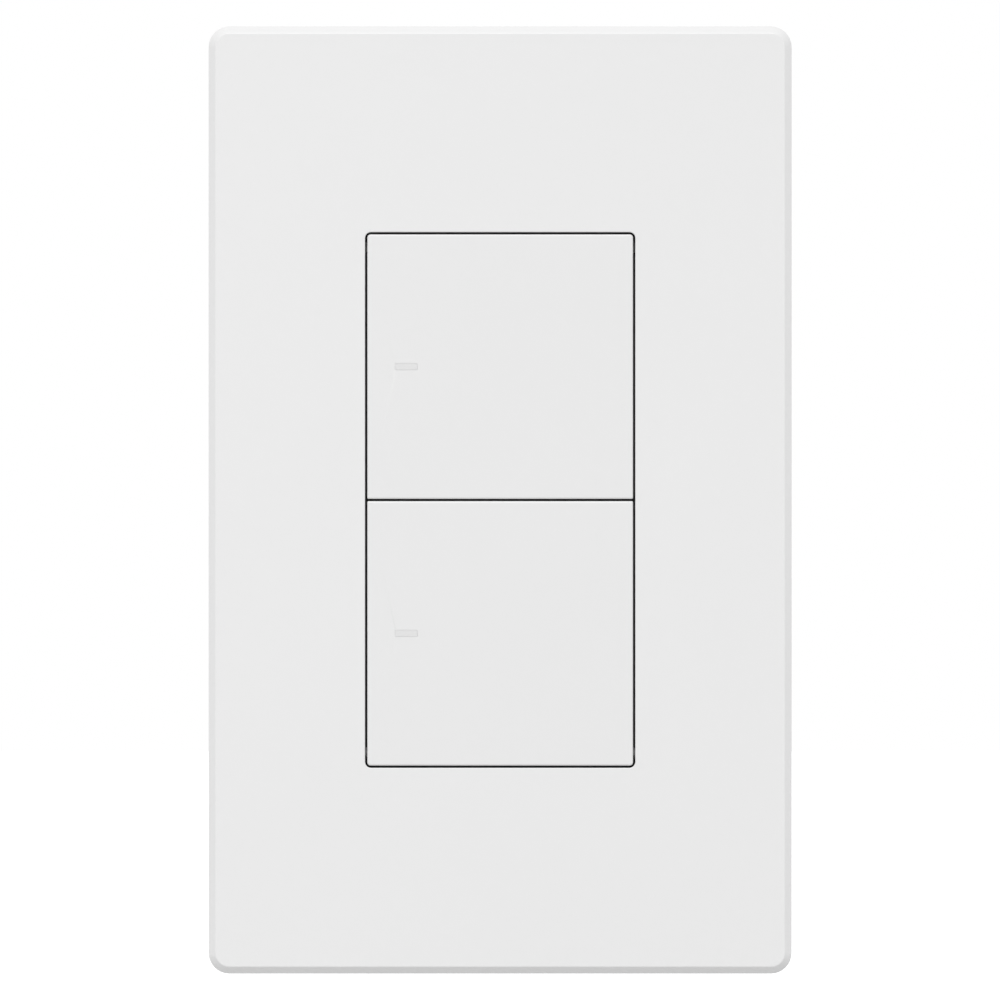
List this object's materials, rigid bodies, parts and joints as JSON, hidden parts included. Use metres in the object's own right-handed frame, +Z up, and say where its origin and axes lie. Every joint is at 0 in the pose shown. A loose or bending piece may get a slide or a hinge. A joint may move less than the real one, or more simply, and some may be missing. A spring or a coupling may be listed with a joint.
{
  "type": "smart wall switch",
  "caption": "Smart wall switch with stacked square buttons, indicator bars and a screwless white plate, on a strap and housing for a wall box.",
  "frame": {"origin": "middle between the box screws, on the wall's surface, which is the back plane of the strap and of the plate's rim", "axes": "+Z up along the plate's long side, +X to the right seen from the front, +Y into the wall, so the buttons face -Y"},
  "size_m": [0.0736, 0.0408, 0.1196],
  "materials": {
    "plate_white": "smooth satin white moulding",
    "button_white": "smooth satin white moulding",
    "lens_milk": "translucent milky bar",
    "bracket_white": "plain white moulding",
    "frame_grey": "dark grey moulding",
    "housing_grey": "dark grey textured moulding",
    "strap_zinc": "zinc-plated sheet",
    "screw_zinc": "zinc-plated",
    "screw_green": "green passivated",
    "contact_brass": "plain brass",
    "clamp_steel": "nickel-plated",
    "fibre_red": "vulcanised fibre",
    "guide_clear": "clear acrylic",
    "tact_black": "black moulding",
    "plunger_white": "natural moulding",
    "led_ceramic": "white chip with a yellowish lens",
    "shield_tin": "tinned can",
    "board_green": "solder mask",
    "spacer_nylon": "natural nylon",
    "header_black": "black moulding",
    "relay_blue": "sealed case",
    "ferrite_grey": "ferrite core with a taped winding",
    "film_yellow": "epoxy-filled box",
    "can_aluminium": "sleeved can",
    "disc_blue": "dipped coating"
  },
  "bodies": {
    "housing": {"faceplate": "plate_white", "plate_bracket": "bracket_white", "bracket_screws": "screw_zinc", "switch_frame": "frame_grey", "light_guide_upper": "guide_clear", "light_guide_lower": "guide_clear", "mounting_strap": "strap_zinc", "box_screws": "screw_zinc", "screw_retainers": "fibre_red", "ground_screw": "screw_green", "tact_switch_upper": "tact_black", "tact_switch_lower": "tact_black", "led_upper": "led_ceramic", "led_lower": "led_ceramic", "radio_module": "shield_tin", "control_board": "board_green", "board_spacers": "spacer_nylon", "board_header": "header_black", "power_board": "board_green", "relay_upper": "relay_blue", "relay_lower": "relay_blue", "transformer": "ferrite_grey", "filter_capacitor": "film_yellow", "storage_capacitor": "can_aluminium", "surge_absorber": "disc_blue", "rear_housing": "housing_grey", "housing_screws": "screw_zinc", "terminal_line": "contact_brass", "terminal_neutral": "contact_brass", "terminal_load_upper": "contact_brass", "terminal_load_lower": "contact_brass", "wire_clamps": "clamp_steel", "terminal_screws": "contact_brass"},
    "upper_button": {"button_upper": "button_white", "indicator_lens_upper": "lens_milk"},
    "lower_button": {"button_lower": "button_white", "indicator_lens_lower": "lens_milk"},
    "upper_plunger": {"plunger_upper": "plunger_white"},
    "lower_plunger": {"plunger_lower": "plunger_white"}
  },
  "joints": [
    {"name": "upper_press", "type": "hinge", "parent": "housing", "child": "upper_button", "pos_m": [0, -0.0044, 0.03202], "axis": [1, 0, 0], "range_deg": [0, 1], "stiffness_Nm_per_rad": 1.2},
    {"name": "lower_press", "type": "hinge", "parent": "housing", "child": "lower_button", "pos_m": [0, -0.0044, -0.03202], "axis": [-1, 0, 0], "range_deg": [0, 1], "stiffness_Nm_per_rad": 1.2},
    {"name": "upper_plunge", "type": "slide", "parent": "housing", "child": "upper_plunger", "axis": [0, 1, 0], "range_m": [0, 0.0005]},
    {"name": "lower_plunge", "type": "slide", "parent": "housing", "child": "lower_plunger", "axis": [0, 1, 0], "range_m": [0, 0.0005]}
  ],
  "couplings": [
    {"joint": "upper_plunge", "follows": "upper_press", "m_per_rad": 0.02642},
    {"joint": "lower_plunge", "follows": "lower_press", "m_per_rad": 0.02642}
  ]
}
